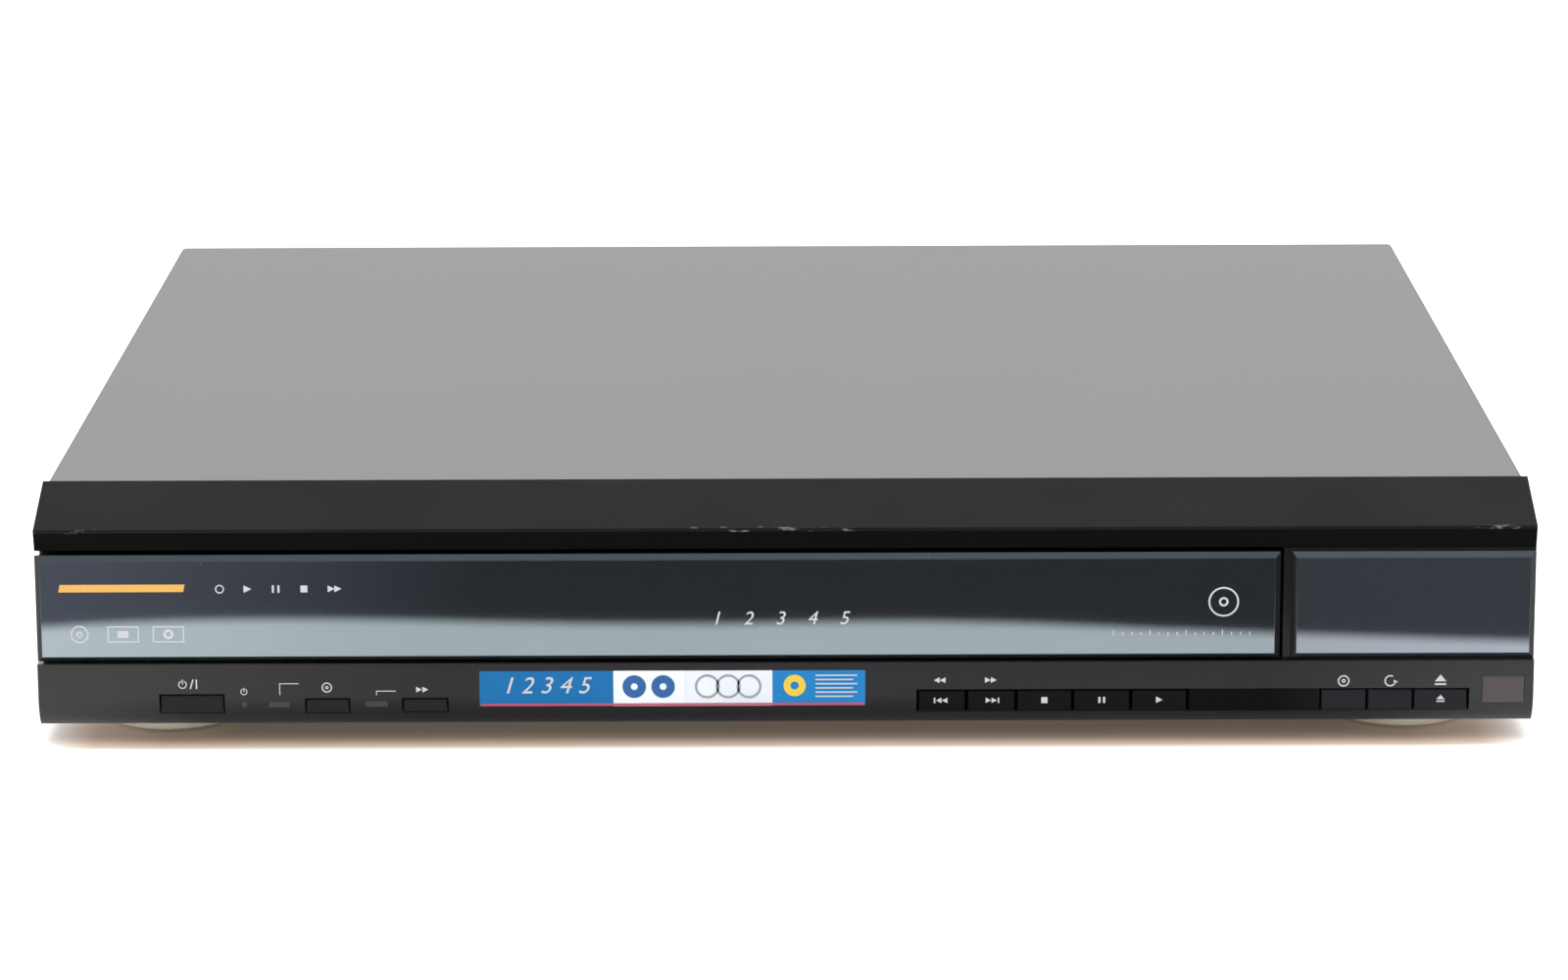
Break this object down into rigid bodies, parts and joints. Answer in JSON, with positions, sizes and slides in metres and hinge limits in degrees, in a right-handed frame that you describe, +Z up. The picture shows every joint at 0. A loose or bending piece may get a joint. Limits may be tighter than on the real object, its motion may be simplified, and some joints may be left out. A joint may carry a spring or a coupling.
{
  "type": "disc player",
  "caption": "Slim black disc player with a wide drawer door, carousel tray, display window, front keys and round front feet.",
  "frame": {"origin": "on the floor under the middle of the player", "axes": "+X to the right seen from the front, +Y to the back, +Z up"},
  "size_m": [0.4306, 0.389, 0.073],
  "materials": {
    "satin_black_steel": "satin paint",
    "black_abs": "moulded",
    "smoked_acrylic": "polished",
    "key_plastic": "polished",
    "grey_lens": "clear moulded",
    "sensor_acrylic": "polished",
    "zinc_steel": "zinc plated",
    "rear_steel": "satin paint",
    "gold_trim": "satin gold",
    "black_rubber": "moulded",
    "black_screw": "black oxide",
    "green_board": "solder mask",
    "brown_board": "phenolic paper",
    "black_part": "moulded",
    "dark_glass": "polished",
    "ferrite": "wound core",
    "jack_plastic": "moulded",
    "base_plastic": "moulded",
    "tray_plastic": "moulded",
    "white_acetal": "moulded",
    "motor_steel": "nickel plated",
    "turntable_plastic": "moulded",
    "ground_steel": "ground",
    "lens_glass": "coated"
  },
  "bodies": {
    "root": {"top_cover": "satin_black_steel", "front_panel": "black_abs", "display_window": "smoked_acrylic", "indicator_lenses": "grey_lens", "sensor_window": "sensor_acrylic", "chassis_pan": "zinc_steel", "clamper_bridge": "zinc_steel", "rear_panel": "rear_steel", "front_feet": "gold_trim", "rear_feet": "black_rubber", "tray_belt": "black_rubber", "case_screws": "black_screw", "front_board": "green_board", "main_board": "green_board", "power_board": "brown_board", "jack_board": "brown_board", "tact_switches": "black_part", "power_inlet": "black_part", "signal_sockets": "black_part", "display_tube": "dark_glass", "transformer": "ferrite", "rca_jacks": "jack_plastic", "mechanism_base": "base_plastic", "side_rails": "base_plastic", "drive_bracket": "base_plastic", "traverse_frame": "base_plastic", "tray_motor": "motor_steel", "spindle_motor": "motor_steel", "sled_motor": "motor_steel", "guide_rods": "ground_steel"},
    "tray": {"tray": "tray_plastic", "tray_surround": "tray_plastic", "tray_door": "black_abs", "door_window": "smoked_acrylic", "tray_rack": "white_acetal", "carousel_motor": "motor_steel", "carousel_retainer": "tray_plastic"},
    "carousel": {"carousel": "tray_plastic", "carousel_hub": "white_acetal", "ring_gear": "tray_plastic"},
    "carousel_gear": {"carousel_gear": "white_acetal"},
    "carousel_pinion": {"carousel_pinion": "white_acetal"},
    "tray_gear": {"tray_gear": "white_acetal"},
    "motor_pulley": {"motor_pulley": "white_acetal"},
    "turntable": {"turntable": "turntable_plastic"},
    "clamper": {"clamper": "white_acetal"},
    "pickup": {"pickup": "turntable_plastic", "pickup_lens": "lens_glass"},
    "lead_screw": {"lead_screw": "ground_steel"},
    "power_button": {"power_button": "key_plastic"},
    "surround_button": {"surround_button": "key_plastic"},
    "sequential_button": {"sequential_button": "key_plastic"},
    "skip_back_button": {"skip_back_button": "key_plastic"},
    "skip_forward_button": {"skip_forward_button": "key_plastic"},
    "stop_button": {"stop_button": "key_plastic"},
    "pause_button": {"pause_button": "key_plastic"},
    "play_button": {"play_button": "key_plastic"},
    "exchange_button": {"exchange_button": "key_plastic"},
    "disc_skip_button": {"disc_skip_button": "key_plastic"},
    "open_button": {"open_button": "key_plastic"}
  },
  "joints": [
    {"name": "tray_slide", "type": "slide", "parent": "root", "child": "tray", "axis": [0, -1, 0], "range_m": [0, 0.25]},
    {"name": "carousel_spin", "type": "hinge", "parent": "tray", "child": "carousel", "pos_m": [-0.0365, -0.0095, 0.036], "axis": [0, 0, 1], "continuous": true},
    {"name": "carousel_gear_spin", "type": "hinge", "parent": "tray", "child": "carousel_gear", "pos_m": [0.09078, 0.11778, 0.032], "axis": [0, 0, 1], "continuous": true},
    {"name": "carousel_pinion_spin", "type": "hinge", "parent": "tray", "child": "carousel_pinion", "pos_m": [0.11288, 0.13988, 0.029], "axis": [0, 0, 1], "continuous": true},
    {"name": "tray_gear_spin", "type": "hinge", "parent": "root", "child": "tray_gear", "pos_m": [-0.1779, -0.15, 0.024], "axis": [0, 0, 1], "range_deg": [0, 956]},
    {"name": "motor_pulley_spin", "type": "hinge", "parent": "root", "child": "motor_pulley", "pos_m": [-0.1159, -0.15, 0.022], "axis": [0, 0, 1], "range_deg": [0, 3433]},
    {"name": "turntable_spin", "type": "hinge", "parent": "root", "child": "turntable", "pos_m": [-0.0365, 0.0941, 0.025], "axis": [0, 0, 1], "continuous": true},
    {"name": "clamper_spin", "type": "hinge", "parent": "root", "child": "clamper", "pos_m": [-0.0365, 0.0941, 0.048], "axis": [0, 0, 1], "continuous": true},
    {"name": "pickup_slide", "type": "slide", "parent": "root", "child": "pickup", "axis": [0, -1, 0], "range_m": [0, 0.034]},
    {"name": "lead_screw_spin", "type": "hinge", "parent": "root", "child": "lead_screw", "pos_m": [-0.073, 0.06, 0.0166], "axis": [0, 1, 0], "range_deg": [-4081, 0]},
    {"name": "power_press", "type": "slide", "parent": "root", "child": "power_button", "axis": [0, 1, 0], "range_m": [0, 0.0008], "stiffness_N_per_m": 900},
    {"name": "surround_press", "type": "slide", "parent": "root", "child": "surround_button", "axis": [0, 1, 0], "range_m": [0, 0.0008], "stiffness_N_per_m": 900},
    {"name": "sequential_press", "type": "slide", "parent": "root", "child": "sequential_button", "axis": [0, 1, 0], "range_m": [0, 0.0008], "stiffness_N_per_m": 900},
    {"name": "skip_back_press", "type": "slide", "parent": "root", "child": "skip_back_button", "axis": [0, 1, 0], "range_m": [0, 0.0008], "stiffness_N_per_m": 900},
    {"name": "skip_forward_press", "type": "slide", "parent": "root", "child": "skip_forward_button", "axis": [0, 1, 0], "range_m": [0, 0.0008], "stiffness_N_per_m": 900},
    {"name": "stop_press", "type": "slide", "parent": "root", "child": "stop_button", "axis": [0, 1, 0], "range_m": [0, 0.0008], "stiffness_N_per_m": 900},
    {"name": "pause_press", "type": "slide", "parent": "root", "child": "pause_button", "axis": [0, 1, 0], "range_m": [0, 0.0008], "stiffness_N_per_m": 900},
    {"name": "play_press", "type": "slide", "parent": "root", "child": "play_button", "axis": [0, 1, 0], "range_m": [0, 0.0008], "stiffness_N_per_m": 900},
    {"name": "exchange_press", "type": "slide", "parent": "root", "child": "exchange_button", "axis": [0, 1, 0], "range_m": [0, 0.0008], "stiffness_N_per_m": 900},
    {"name": "disc_skip_press", "type": "slide", "parent": "root", "child": "disc_skip_button", "axis": [0, 1, 0], "range_m": [0, 0.0008], "stiffness_N_per_m": 900},
    {"name": "open_press", "type": "slide", "parent": "root", "child": "open_button", "axis": [0, 1, 0], "range_m": [0, 0.0008], "stiffness_N_per_m": 900}
  ],
  "couplings": [
    {"joint": "carousel_gear_spin", "follows": "carousel_spin", "ratio": -9},
    {"joint": "carousel_pinion_spin", "follows": "carousel_spin", "ratio": 36},
    {"joint": "tray_gear_spin", "follows": "tray_slide", "rad_per_m": 66.667},
    {"joint": "motor_pulley_spin", "follows": "tray_slide", "rad_per_m": 239.51},
    {"joint": "lead_screw_spin", "follows": "pickup_slide", "rad_per_m": -2094.4}
  ]
}
